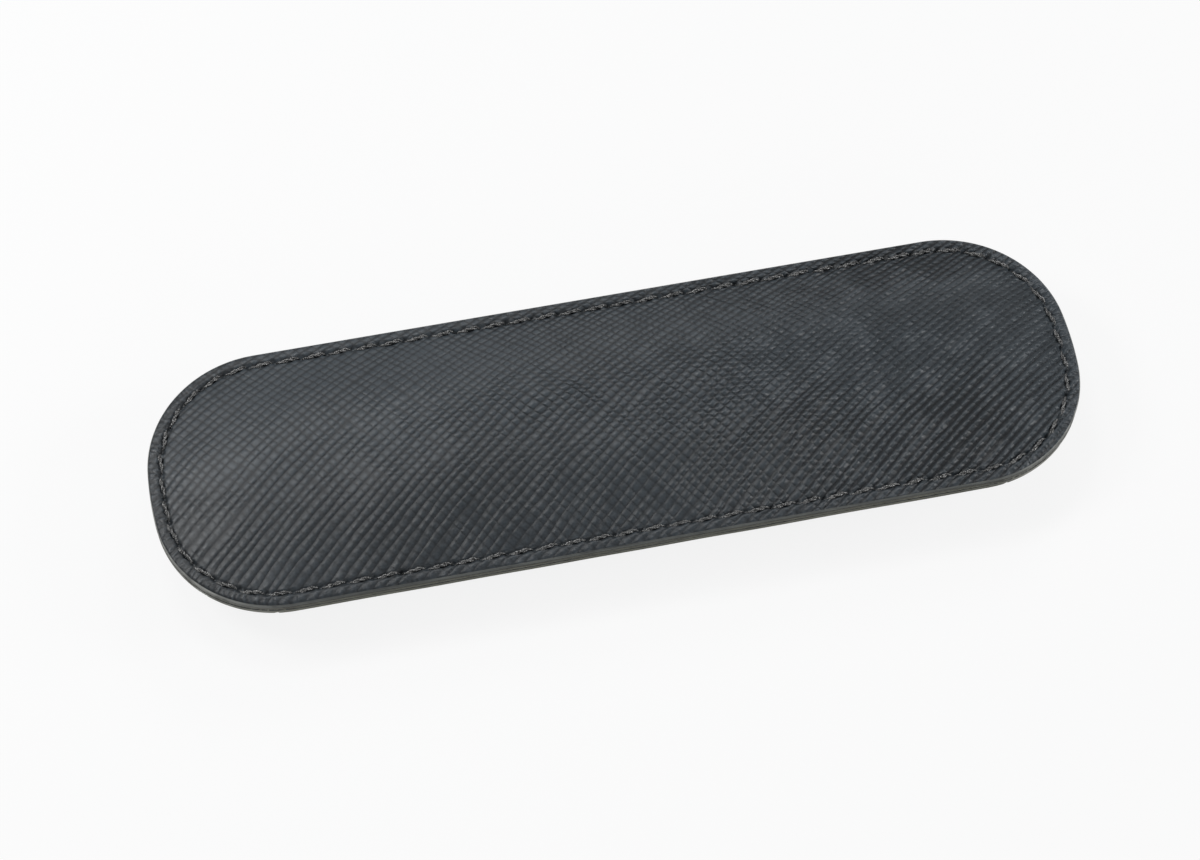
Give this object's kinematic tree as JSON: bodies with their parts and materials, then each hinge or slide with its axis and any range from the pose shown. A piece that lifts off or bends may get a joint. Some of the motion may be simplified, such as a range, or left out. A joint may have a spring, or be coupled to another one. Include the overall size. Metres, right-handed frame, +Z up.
{
  "type": "fountain pen case",
  "caption": "Pillow-shaped stitched leather case for a fountain pen, with a bulged back pouch closed by a long flap that folds open along one side.",
  "frame": {"origin": "on the table under the middle of the case, which lies on its back with the stitched front up", "axes": "+X along the case to the right-hand end in the picture, +Y away from the viewer to the side with the fold, +Z up"},
  "size_m": [0.165, 0.05, 0.017],
  "materials": {
    "leather": "cross-grained charcoal leather, satin",
    "lining": "matt suede-like lining",
    "thread": "waxed black thread",
    "magnet": "nickel-plated bar"
  },
  "bodies": {
    "case": {"front_panel": "leather", "front_lining": "lining", "pocket_panel": "leather", "pocket_lining": "lining", "flap_root": "leather", "pocket_magnets": "magnet", "seam_stitches_front": "thread", "seam_stitches_back": "thread"},
    "flap": {"flap_panel": "leather", "flap_lining": "lining", "flap_magnets": "magnet"}
  },
  "joints": [
    {"name": "flap_hinge", "type": "hinge", "parent": "case", "child": "flap", "pos_m": [0, 0.02, 0.0067], "axis": [1, 0, 0], "range_deg": [0, 180]}
  ]
}
